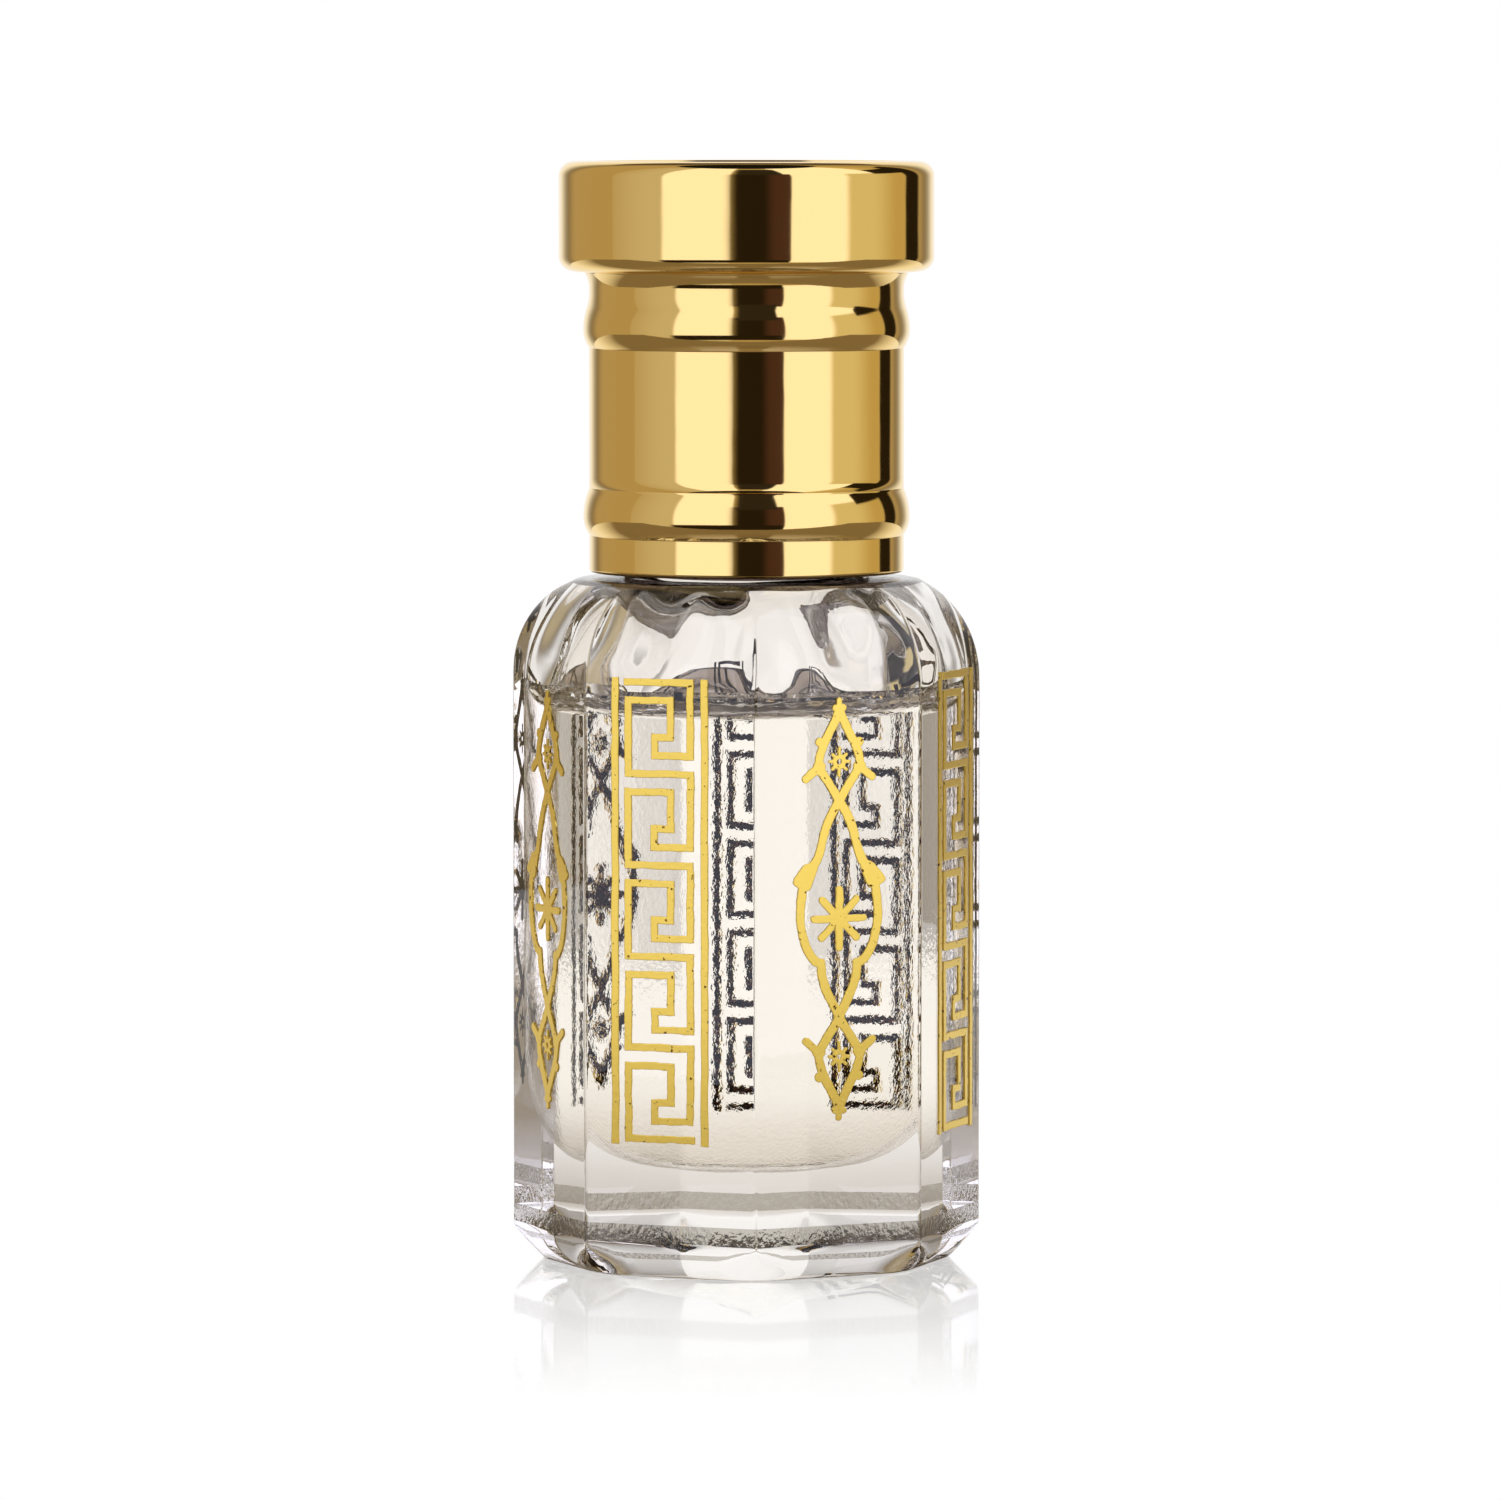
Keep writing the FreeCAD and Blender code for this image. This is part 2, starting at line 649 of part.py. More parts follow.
def build():
    parts = {
        "glass_bottle": glass_bottle(),
        "perfume_oil": perfume_oil(),
        "roller_housing": roller_housing(),
        "roller_ball": roller_ball(),
        "sealing_liner": sealing_liner(),
        "inner_cap": inner_cap(),
        "cap_skirt": cap_skirt(),
        "cap_collar": cap_collar(),
    }
    key, arabesque = fret(), ornament()
    for place, (degrees, drift) in KEY_FLATS.items():
        parts["key_print_" + place] = on_flat(key, degrees, drift)
    for place, (degrees, drift) in ORNAMENT_FLATS.items():
        parts["ornament_print_" + place] = on_flat(arabesque, degrees, drift)
    return parts


def main():
    os.makedirs("parts", exist_ok=True)
    for name, shape in build().items():
        shape.exportStep(os.path.join("parts", name + ".step"))
        box = shape.BoundBox
        print(
            f"{name:28s} solids {len(shape.Solids)} valid {shape.isValid()} volume {shape.Volume:9.2f}"
            f"  z {box.ZMin:.2f} to {box.ZMax:.2f}  x {box.XMin:.2f} to {box.XMax:.2f}"
        )


main()
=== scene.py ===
import math

import bmesh
import bpy
import numpy as np
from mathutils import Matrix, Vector, noise


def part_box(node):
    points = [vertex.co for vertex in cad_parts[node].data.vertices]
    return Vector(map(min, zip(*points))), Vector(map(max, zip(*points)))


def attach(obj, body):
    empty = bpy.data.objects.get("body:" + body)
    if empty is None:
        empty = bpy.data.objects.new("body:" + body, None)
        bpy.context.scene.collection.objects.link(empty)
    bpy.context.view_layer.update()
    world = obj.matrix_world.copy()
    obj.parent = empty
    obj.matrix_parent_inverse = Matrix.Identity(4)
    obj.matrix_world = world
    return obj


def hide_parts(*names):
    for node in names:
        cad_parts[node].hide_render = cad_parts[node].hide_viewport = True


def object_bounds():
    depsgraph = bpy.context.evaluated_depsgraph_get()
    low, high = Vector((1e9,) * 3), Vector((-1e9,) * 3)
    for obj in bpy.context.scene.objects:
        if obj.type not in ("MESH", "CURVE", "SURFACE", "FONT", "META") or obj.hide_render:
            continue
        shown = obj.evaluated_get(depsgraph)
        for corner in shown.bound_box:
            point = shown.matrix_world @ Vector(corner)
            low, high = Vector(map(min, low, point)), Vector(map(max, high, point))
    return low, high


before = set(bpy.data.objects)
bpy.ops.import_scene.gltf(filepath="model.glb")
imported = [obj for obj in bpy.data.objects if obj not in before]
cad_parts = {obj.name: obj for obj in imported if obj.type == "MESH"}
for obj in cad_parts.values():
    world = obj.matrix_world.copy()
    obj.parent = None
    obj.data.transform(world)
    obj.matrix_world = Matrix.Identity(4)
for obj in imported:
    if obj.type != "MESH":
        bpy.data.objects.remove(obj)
CAD_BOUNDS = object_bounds()
MM = 0.001

# ---- sizes read from the frame -------------------------------------------------------
GLASS_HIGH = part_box("glass_bottle")[1]
OIL_LOW, OIL_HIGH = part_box("perfume_oil")
HOUSING_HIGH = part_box("roller_housing")[1]
COLLAR_LOW, COLLAR_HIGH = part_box("cap_collar")
SKIRT_LOW, SKIRT_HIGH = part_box("cap_skirt")

APOTHEM = GLASS_HIGH.x
NECK_TOP = GLASS_HIGH.z
CAVITY_RADIUS = OIL_HIGH.x
CAVITY_LOWEST = OIL_LOW.z
OIL_LEVEL = OIL_HIGH.z
COLLAR_RADIUS = COLLAR_HIGH.x
COLLAR_BOTTOM = COLLAR_LOW.z
CAP_TOP = COLLAR_HIGH.z
FLANGE_RADIUS = SKIRT_HIGH.x
SKIRT_BOTTOM = SKIRT_LOW.z

# ---- shape of the glass ----------------------------------------------------------------
SIDES = 8
HALF_SIDE = math.pi / SIDES
CORNER_ROUND = 0.4 * MM
CORNER_REACH = (APOTHEM - CORNER_ROUND) / math.cos(HALF_SIDE) + CORNER_ROUND
FOOT_INSET = 1.175 * MM
FOOT_HEIGHT = 1.9 * MM
FOOT_CORNER_RADIUS = APOTHEM - 0.675 * MM
FOOT_CORNER_HEIGHT = 1.7 * MM
FOOT_CORNER_MELT = 0.12 * MM
PUSH_UP_RADIUS = 6.6 * MM
PUSH_UP_DEPTH = 0.45 * MM
SHOULDER_TOP = SKIRT_BOTTOM - 0.28 * MM
SHOULDER_START = SHOULDER_TOP - 4.7 * MM
SHOULDER_RADIUS = 5.0 * MM
SHOULDER_EDGE = 0.12 * MM
CAVITY_CORNER = 5.5 * MM
CAVITY_DISH = 0.3 * MM
CAVITY_SHOULDER = OIL_LEVEL + 1.3 * MM
NECK_RADIUS = HOUSING_HIGH.x + 0.2 * MM
NECK_BORE = NECK_RADIUS - 1.55 * MM
NECK_FOOT_ROUND = 0.45 * MM
LIP_ROUND = 0.35 * MM
THREAD_PITCH = 2.12 * MM
THREAD_HEIGHT = 0.7 * MM
THREAD_HALF_CREST = 0.2 * MM
THREAD_FLANK = 0.4 * MM
THREAD_START = SHOULDER_TOP + 3.5 * MM
THREAD_TURNS = 1.75
THREAD_TAPER = 0.05
THREAD_PHASE = math.radians(33)

# the inside of a moulded bottle is less true than the outside
UNEVEN_FROM = CAVITY_SHOULDER
UNEVEN_RISE = 1.5 * MM
UNEVEN_INSIDE = 0.5 * MM
UNEVEN_OUTSIDE = 0.14 * MM
UNEVEN_SCALE = (2.8 * MM, 2.8 * MM, 5.5 * MM)

# bands of the outside darkened with painted shade, from and to: above the foot, and under the cap for
# the cap's shade
FOOT_PAINTED_SHADE_BAND = (1.85 * MM, 2.7 * MM)
CAP_PAINTED_SHADE_BAND = (SHOULDER_TOP - 0.2 * MM, SHOULDER_TOP + 0.05 * MM)

# ---- shape of the oil ------------------------------------------------------------------
OIL_GAP = 0.002 * MM
MENISCUS = 1.5 * MM
MENISCUS_WIDTH = 0.9 * MM
MENISCUS_SHOWS = 0.08 * MM

# ---- shape of the cap ------------------------------------------------------------------
SHELL = 0.35 * MM
SHELL_GAP = 0.05 * MM
SKIRT_RADIUS = FLANGE_RADIUS - 0.73 * MM
FLARE_RADIUS = FLANGE_RADIUS - 0.47 * MM
FLARE_HEIGHT = 0.8 * MM
BEAD_CROWNS = (SKIRT_BOTTOM + 2.72 * MM, COLLAR_BOTTOM - 2.84 * MM)
BEAD_HOLLOWS = (0.3 * MM, 2.2 * MM)
BEAD_BULGE = 0.29 * MM
BEAD_UPPER_BEND = 3.4 * MM
BEAD_LOWER_BEND = 1.5 * MM
BEAD_CREASE = 0.1 * MM
COLLAR_ROUND = 0.75 * MM
RECESS_RADIUS = COLLAR_RADIUS - 1.9 * MM
RECESS_DEPTH = 0.25 * MM

# ---- camera ----------------------------------------------------------------------------
CAMERA_AZIMUTH = math.radians(20.3)
CAMERA_DISTANCE = 450 * MM
CAMERA_RISE = 3 * MM
AIM_HEIGHT = 25.0 * MM
AIM_ASIDE = 0.17 * MM
SENSOR = 36.0
LENS = 220.3


# ---- meshes made of rings --------------------------------------------------------------
def side_angles():
    """Angles round the axis: many at each corner of the octagon, fewer along the flats."""
    near = math.radians(0.8)
    beside = near * 1.4
    flat = 2 * (HALF_SIDE - beside)
    offsets = list(np.linspace(-near, near, 7))
    offsets += [beside + flat * step / 15 for step in range(16)]
    corners = [HALF_SIDE * (2 * side + 1) for side in range(SIDES)]
    return np.array([corner + offset for corner in corners for offset in offsets])


ANGLES = side_angles()
FINE_ANGLES = np.linspace(0, 2 * math.pi, 256, endpoint=False)


def octagon_radius(angles, apothem, corner):
    """Distance from the axis to a regular octagon whose corners are rounded."""
    from_flat = np.abs((angles + HALF_SIDE) % (2 * HALF_SIDE) - HALF_SIDE)
    from_corner = HALF_SIDE - from_flat
    straight = apothem / np.cos(from_flat)
    centre = (apothem - corner) / math.cos(HALF_SIDE)
    tangent = HALF_SIDE - math.atan((apothem - corner) * math.tan(HALF_SIDE) / apothem)
    inside = np.maximum(corner**2 - (centre * np.sin(from_corner)) ** 2, 0)
    rounded = centre * np.cos(from_corner) + np.sqrt(inside)
    return np.where(from_corner < tangent, rounded, straight)


def ring(angles, radius, z):
    """Points round the axis; the radius is one number or one for each angle."""
    radius = np.broadcast_to(radius, angles.shape)
    height = np.broadcast_to(z, angles.shape)
    return np.stack([radius * np.cos(angles), radius * np.sin(angles), height], axis=1)


def rings_through(points, angles):
    """A round ring at each of some (radius, height) points."""
    return [ring(angles, radius, z) for radius, z in points]


def lofted(name, rings, start_pole=None, end_pole=None, loop=False):
    """A skin through rings of equal length.

    A pole closes an end to a point, and loop joins the last ring to the first.
    """
    count = len(rings[0])
    verts = [tuple(point) for points in rings for point in points]
    beside = [(j, (j + 1) % count) for j in range(count)]
    spans = [(row, row + 1) for row in range(len(rings) - 1)]
    if loop:
        spans.append((len(rings) - 1, 0))
    faces = []
    for low, high in spans:
        for j, k in beside:
            faces.append((low * count + j, low * count + k, high * count + k, high * count + j))
    if start_pole:
        tip = len(verts)
        verts.append(start_pole)
        faces += [(tip, k, j) for j, k in beside]
    if end_pole:
        tip = len(verts)
        verts.append(end_pole)
        last = (len(rings) - 1) * count
        faces += [(tip, last + j, last + k) for j, k in beside]
    mesh = bpy.data.meshes.new(name)
    mesh.from_pydata(verts, [], faces)
    mesh.validate()
    mesh.shade_smooth()
    piece = bpy.data.objects.new(name, mesh)
    bpy.context.scene.collection.objects.link(piece)
    return piece


def arc_points(centre, radius, start_deg, end_deg, steps):
    """(radius, height) points on an arc in the plane through the axis."""
    turn = np.radians(np.linspace(start_deg, end_deg, steps + 1))
    return [(centre[0] + radius * math.cos(t), centre[1] + radius * math.sin(t)) for t in turn]


# ---- glass bottle ----------------------------------------------------------------------
def smooth_min(a, b, width):
    """The smaller of two values, with the step between them rounded off."""
    blend = np.clip(0.5 + 0.5 * (b - a) / width, 0, 1)
    return b + (a - b) * blend - width * blend * (1 - blend)


def dome_radius(reach, z):
    """Radius of the shoulder's curve where it springs from a given reach."""
    above = min(max(z - SHOULDER_START, 0), SHOULDER_RADIUS)
    return reach - SHOULDER_RADIUS + math.sqrt(SHOULDER_RADIUS**2 - above**2)


def body_section(z):
    """Distance from the axis to the outside of the glass, at every angle, at one height.

    It is an octagon drawn in and trimmed at the foot, which melts into a circle at the shoulder.
    """
    bend = (FOOT_INSET**2 + FOOT_HEIGHT**2) / (2 * FOOT_INSET)
    below = max(FOOT_HEIGHT - z, 0)
    apothem = APOTHEM - bend + math.sqrt(bend**2 - below**2)
    flats = octagon_radius(ANGLES, apothem, CORNER_ROUND)
    trim_reach = (FOOT_CORNER_RADIUS, CORNER_REACH + FOOT_CORNER_MELT)
    trim = np.interp(z, (0, FOOT_CORNER_HEIGHT), trim_reach)
    section = smooth_min(flats, trim, FOOT_CORNER_MELT)
    top = dome_radius(CORNER_REACH, SHOULDER_TOP)
    still_octagon = (dome_radius(CORNER_REACH, z) - top) / (CORNER_REACH - top)
    return top + (section - top) * still_octagon


def underside_rings():
    """From the middle of the push-up out over the standing ring."""
    ball = (PUSH_UP_RADIUS**2 + PUSH_UP_DEPTH**2) / (2 * PUSH_UP_DEPTH)
    rings = []
    for share in np.linspace(0.05, 1, 14):
        radius = PUSH_UP_RADIUS * share
        rings.append(ring(ANGLES, radius, PUSH_UP_DEPTH - ball + math.sqrt(ball**2 - radius**2)))
    rings.append(ring(ANGLES, PUSH_UP_RADIUS + 0.1 * MM, 0))
    standing = body_section(0)
    return rings + [ring(ANGLES, standing * share, 0) for share in (0.85, 0.96, 0.99)]


def body_rings():
    """The outside, from the foot's edge to the flat under the cap."""
    straight_to = SHOULDER_START - 1.5 * MM
    edge_height = SHOULDER_TOP - SHOULDER_EDGE
    heights = list(np.linspace(0.03 * MM, FOOT_HEIGHT, 26))
    heights += list(np.linspace(FOOT_HEIGHT + 0.1 * MM, FOOT_PAINTED_SHADE_BAND[1], 8))
    heights += list(np.linspace(FOOT_PAINTED_SHADE_BAND[1] + 0.3 * MM, straight_to, 50))
    heights += list(np.linspace(straight_to + 0.2 * MM, edge_height, 60))
    rings = [ring(ANGLES, body_section(z), z) for z in heights]
    edge = body_section(edge_height)
    rings.append(ring(ANGLES, edge - SHOULDER_EDGE, SHOULDER_TOP - 0.05 * MM))
    rings.append(ring(ANGLES, edge - 0.4 * MM, SHOULDER_TOP))
    return rings


def thread_height(angles, z):
    """How far the screw thread stands out of the neck at each angle, at one height."""
    turned_by = (angles - THREAD_PHASE) % (2 * math.pi) / (2 * math.pi)
    height = np.zeros_like(angles)
    for turn in range(math.ceil(THREAD_TURNS)):
        along = turned_by + turn
        from_crest = np.abs(z - THREAD_START - THREAD_PITCH * along)
        flank = 1 - np.clip((from_crest - THREAD_HALF_CREST) / THREAD_FLANK, 0, 1)
        starts = np.clip(along / THREAD_TAPER, 0, 1)
        stops = np.clip((THREAD_TURNS - along) / THREAD_TAPER, 0, 1)
        height = np.maximum(height, flank**2 * (3 - 2 * flank) * starts * stops)
    return height * THREAD_HEIGHT


def neck_rings():
    """Fillet, threaded neck, rounded lip, and down the bore."""
    wall_from = SHOULDER_TOP + NECK_FOOT_ROUND
    lip = NECK_TOP - LIP_ROUND
    bore_to = CAVITY_SHOULDER + CAVITY_RADIUS - NECK_BORE + 0.2 * MM
    fillet = arc_points((NECK_RADIUS + NECK_FOOT_ROUND, wall_from), NECK_FOOT_ROUND, 265, 180, 8)
    rim = arc_points((NECK_RADIUS - LIP_ROUND, lip), LIP_ROUND, 12, 90, 7)
    rim += [(NECK_BORE + 0.1 * MM, NECK_TOP), (NECK_BORE, NECK_TOP - 0.1 * MM)]
    rim += [(NECK_BORE, z) for z in np.linspace(NECK_TOP - 1 * MM, bore_to, 10)]
    threaded = []
    for z in np.linspace(wall_from + 0.1 * MM, lip, 80):
        threaded.append(ring(ANGLES, NECK_RADIUS + thread_height(ANGLES, z), z))
    return rings_through(fillet, ANGLES) + threaded + rings_through(rim, ANGLES)


def dome_profile():
    """(radius, height) points from the neck's bore down to the cavity's straight wall."""
    reach = CAVITY_RADIUS - NECK_BORE
    points = arc_points((NECK_BORE, CAVITY_SHOULDER), reach, 90, 0, 24)[1:]
    return points + [(CAVITY_RADIUS, CAVITY_SHOULDER - 0.2 * MM)]


def cavity_profile(top):
    """(radius, height) points from a height on the cavity's wall, down and in to the floor."""
    floor = CAVITY_LOWEST + CAVITY_DISH
    centre = (CAVITY_RADIUS - CAVITY_CORNER, floor + CAVITY_CORNER)
    points = [(CAVITY_RADIUS, z) for z in np.linspace(top, centre[1] + 0.2 * MM, 34)]
    points += arc_points(centre, CAVITY_CORNER, 0, -88, 20)
    for share in np.linspace(0.96, 0.04, 16):
        points.append((centre[0] * share, CAVITY_LOWEST + CAVITY_DISH * share**2))
    return points


def make_uneven(mesh, inner_from):
    """Moves the glass above the oil in and out by slow noise. The neck's outside stays true."""
    moves = []
    for index, vertex in enumerate(mesh.vertices):
        if index >= inner_from:
            amount = UNEVEN_INSIDE
        elif vertex.co.z > SHOULDER_TOP - 0.1 * MM:
            amount = 0
        else:
            amount = UNEVEN_OUTSIDE
        rise = min(max((vertex.co.z - UNEVEN_FROM) / UNEVEN_RISE, 0), 1)
        place = Vector([along / scale for along, scale in zip(vertex.co, UNEVEN_SCALE)])
        moves.append(vertex.normal * (amount * rise * noise.noise(place)))
    for vertex, move in zip(mesh.vertices, moves):
        vertex.co += move
    mesh.update()


def glass_slot(face, inner_from, wet_from):
    """Which of glass_materials() a face of the bottle has."""
    z = face.center.z
    if min(face.vertices) >= wet_from:
        return 1
    # painted shade above the foot
    if FOOT_PAINTED_SHADE_BAND[0] < z < FOOT_PAINTED_SHADE_BAND[1] and face.center.xy.length > FOOT_CORNER_RADIUS:
        return 2
    # painted shade under the cap
    if CAP_PAINTED_SHADE_BAND[0] < z < CAP_PAINTED_SHADE_BAND[1] and max(face.vertices) < inner_from:
        return 3
    return 0


def make_glass():
    """One closed skin: underside, body, neck and bore, then the cavity dry and wet."""
    outside = underside_rings() + body_rings() + neck_rings()
    dry = rings_through(dome_profile(), ANGLES)
    wet = rings_through(cavity_profile(OIL_LEVEL + MENISCUS), ANGLES)
    inner_from = len(outside) * len(ANGLES)
    wet_from = inner_from + len(dry) * len(ANGLES)
    poles = (0, 0, PUSH_UP_DEPTH), (0, 0, CAVITY_LOWEST)
    glass = lofted("glass_body", outside + dry + wet, *poles)
    for material in glass_materials():
        glass.data.materials.append(material)
    for face in glass.data.polygons:
        face.material_index = glass_slot(face, inner_from, wet_from)
    make_uneven(glass.data, inner_from)
    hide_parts("glass_bottle")
    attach(glass, "bottle")


# ---- oil -------------------------------------------------------------------------------
def oil_surface_points():
    """(radius, height) points from near the axis to the edge, where the oil climbs the glass."""
    points = []
    for share in np.linspace(0.03, 1, 40):
        radius = (CAVITY_RADIUS - OIL_GAP) * share
        climb = math.exp((radius - CAVITY_RADIUS) / MENISCUS_WIDTH)
        points.append((radius, OIL_LEVEL + MENISCUS * climb))
    return points


def make_oil():
    """The oil's skin: a surface with a meniscus, and a wall a hair inside the glass."""
    surface = oil_surface_points()
    edge = OIL_LEVEL + MENISCUS - 0.05 * MM
    wall = [(radius - OIL_GAP, z + OIL_GAP) for radius, z in cavity_profile(edge)]
    poles = (0, 0, OIL_LEVEL), (0, 0, CAVITY_LOWEST + OIL_GAP)
    oil = lofted("oil", rings_through(surface + wall, ANGLES), *poles)
    oil.data.flip_normals()
    oil.data.materials.append(oil_surface_material("oil_surface", OIL_TINT, SURFACE_RIPPLE))
    oil.data.materials.append(oil_wall_material())
    # the meniscus, where the oil climbs the glass, is darkened with painted shade
    oil.data.materials.append(oil_surface_material("oil_meniscus_painted_shade", MENISCUS_PAINTED_SHADE_TINT, MENISCUS_RIPPLE))
    wall_from = (len(surface) - 1) * len(ANGLES)
    for face in oil.data.polygons:
        if min(face.vertices) >= wall_from:
            face.material_index = 1
        elif face.center.z > OIL_LEVEL + MENISCUS_SHOWS:
            face.material_index = 2
    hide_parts("perfume_oil")
    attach(oil, "bottle")


# ---- cap shells ------------------------------------------------------------------------
def bead_reach(bend, hollow):
    """Height that a bead's curve and the hollow beside it take up together."""
    return math.sqrt(2 * (bend + hollow) * BEAD_BULGE - BEAD_BULGE**2)


def bead_points(crown, radius, hollow):
    """One bead: crease, tight curve, crown, slow curve, hollow."""
    low = bead_reach(BEAD_LOWER_BEND, BEAD_CREASE)
    high = bead_reach(BEAD_UPPER_BEND, hollow)
    low_sweep = math.degrees(math.asin(low / (BEAD_LOWER_BEND + BEAD_CREASE)))
    high_sweep = math.degrees(math.asin(high / (BEAD_UPPER_BEND + hollow)))
    peak = radius + BEAD_BULGE
    points = arc_points((radius + BEAD_CREASE, crown - low), BEAD_CREASE, 180, 180 - low_sweep, 4)
    points += arc_points((peak - BEAD_LOWER_BEND, crown), BEAD_LOWER_BEND, -low_sweep, 0, 12)[1:]
    points += arc_points((peak - BEAD_UPPER_BEND, crown), BEAD_UPPER_BEND, 0, high_sweep, 14)[1:]
    points += arc_points((radius + hollow, crown + high), hollow, 180 + high_sweep, 180, 8)[1:]
    return points


def skirt_side(radius, flange_z):
    """One face of the skirt's sheet, from the open end up to the flange under the collar."""
    flare = FLARE_RADIUS - SKIRT_RADIUS + radius
    flare_start = COLLAR_BOTTOM - FLARE_HEIGHT
    points = []
    wall_from = SKIRT_BOTTOM + 0.2 * MM
    for crown, hollow in zip(BEAD_CROWNS, BEAD_HOLLOWS):
        wall_to = crown - bead_reach(BEAD_LOWER_BEND, BEAD_CREASE)
        points += [(radius, z) for z in np.linspace(wall_from, wall_to, 12)[:-1]]
        points += bead_points(crown, radius, hollow)
        wall_from = crown + bead_reach(BEAD_UPPER_BEND, hollow)
    for share in np.linspace(0, 1, 9)[1:]:
        points.append((radius + (flare - radius) * share**2, flare_start + FLARE_HEIGHT * share))
    return points + [(flare, flange_z), (FLANGE_RADIUS, flange_z)]


def make_skirt():
    """The sheet's inner face, its rolled lip and its outer face, turned round the axis."""
    flange = COLLAR_BOTTOM + SHELL + SHELL_GAP
    outer = skirt_side(SKIRT_RADIUS, flange)
    inner = skirt_side(SKIRT_RADIUS - SHELL, flange + SHELL)
    lip_centre = (SKIRT_RADIUS - SHELL / 2, SKIRT_BOTTOM + SHELL / 2)
    lip = arc_points(lip_centre, SHELL / 2, 180, 360, 8)
    rings = rings_through(inner[::-1] + lip + outer, FINE_ANGLES)
    skirt = lofted("skirt_shell", rings, loop=True)
    skirt.data.materials.append(gold_metal())
    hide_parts("cap_skirt")
    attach(skirt, "cap")


def collar_rounds():
    """Centres of the rounds at the bottom and the top of the collar."""
    across = COLLAR_RADIUS - COLLAR_ROUND
    return (across, COLLAR_BOTTOM + COLLAR_ROUND), (across, CAP_TOP - COLLAR_ROUND)


def collar_outside():
    """(radius, height) points from the collar's lip out, up and in to the middle of the recess."""
    bottom, top = collar_rounds()
    lip = FLARE_RADIUS + SHELL_GAP
    recess = CAP_TOP - RECESS_DEPTH
    points = [(lip, COLLAR_BOTTOM + SHELL / 2), (lip + 0.05 * MM, COLLAR_BOTTOM)]
    points += [(bottom[0] - 0.05 * MM, COLLAR_BOTTOM)]
    points += arc_points(bottom, COLLAR_ROUND, -90, 0, 16)
    side = np.linspace(bottom[1] + 0.1 * MM, top[1] - 0.1 * MM, 10)
    points += [(COLLAR_RADIUS, z) for z in side]
    points += arc_points(top, COLLAR_ROUND, 0, 90, 16)
    points += [(top[0] - 0.1 * MM, CAP_TOP), (RECESS_RADIUS + 0.4 * MM, CAP_TOP)]
    points += [(RECESS_RADIUS + 0.3 * MM, CAP_TOP - 0.02 * MM), (RECESS_RADIUS, recess + 0.02 * MM)]
    points += [(RECESS_RADIUS - 0.1 * MM, recess)]
    return points + [(RECESS_RADIUS * share, recess) for share in np.linspace(0.95, 0.03, 12)]


def collar_inside():
    """(radius, height) points from the middle of the recess's underside out and down to the lip."""
    bottom, top = collar_rounds()
    ceiling = CAP_TOP - RECESS_DEPTH - SHELL
    points = [(RECESS_RADIUS * share, ceiling) for share in (0.03, 0.5, 0.95)]
    points += [(RECESS_RADIUS + 0.4 * MM, CAP_TOP - SHELL)]
    points += arc_points(top, COLLAR_ROUND - SHELL, 90, 0, 8)
    points += arc_points(bottom, COLLAR_ROUND - SHELL, 0, -90, 8)
    return points + [(FLARE_RADIUS + SHELL_GAP + 0.05 * MM, COLLAR_BOTTOM + SHELL)]


def make_collar():
    """Two skins, outside and inside, in one piece."""
    recess = CAP_TOP - RECESS_DEPTH
    outside = rings_through(collar_outside(), FINE_ANGLES)
    inside = rings_through(collar_inside(), FINE_ANGLES)
    collar = lofted("collar_shell", outside, end_pole=(0, 0, recess))
    under = lofted("collar_inner", inside, start_pole=(0, 0, recess - SHELL))
    bpy.ops.object.select_all(action="DESELECT")
    for piece in (under, collar):
        piece.select_set(True)
    bpy.context.view_layer.objects.active = collar
    bpy.ops.object.join()
    collar.data.materials.append(gold_metal())
    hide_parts("cap_collar")
    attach(collar, "cap")


# ---- materials -------------------------------------------------------------------------
GLASS_IOR = 1.52
OIL_IOR = 1.5
CLEAR = (1, 1, 1, 1)
GLASS_TINT = (0.985, 0.955, 0.92, 1)
# painted shade: a dark tint for the glass above the foot
FOOT_PAINTED_SHADE_TINT = (0.36, 0.33, 0.27, 1)
# painted shade: a near-black tint for the glass under the cap, standing in for the cap's shade
CAP_PAINTED_SHADE_TINT = (0.02, 0.012, 0.01, 1)
OIL_TINT = (1.0, 0.97, 0.9, 1)
# painted shade: a dark tint for the oil's meniscus
MENISCUS_PAINTED_SHADE_TINT = (0.16, 0.12, 0.1, 1)
GOLD = (0.92, 0.66, 0.25, 1)
STEEL = (0.78, 0.78, 0.8, 1)
HOUSING_WHITE = (0.85, 0.85, 0.83)
INNER_CAP_DARK = (0.022, 0.018, 0.016)
LINER_WHITE = (0.9, 0.9, 0.88)

# heights of ripples in glass and oil, and how many there are to a metre
OUTSIDE_RIPPLE = 0.0008 * MM
WET_RIPPLE = 0.2 * MM
FOOT_RIPPLE = 0.04 * MM
SURFACE_RIPPLE = 0.002 * MM
MENISCUS_RIPPLE = 0.12 * MM
WIDE_RIPPLES = 2600
CLOSE_RIPPLES = 4500

# gold specks on the front of the ink, and painted shade on the back of the ink through the glass:
# (noise, colour)
INK_FRONT_TONES = (
    (0.27, (0.12, 0.05, 0.01)),
    (0.33, (0.97, 0.70, 0.13)),
)
INK_UNDERSIDE_PAINTED_SHADE_TONES = (
    (0.3, (0.01, 0.008, 0.035)),
    (0.36, (0.006, 0.0, 0.0)),
    (0.57, (0.012, 0.0, 0.0)),
    (0.61, (0.3, 0.06, 0.01)),
    (0.68, (0.6, 0.5, 0.42)),
)


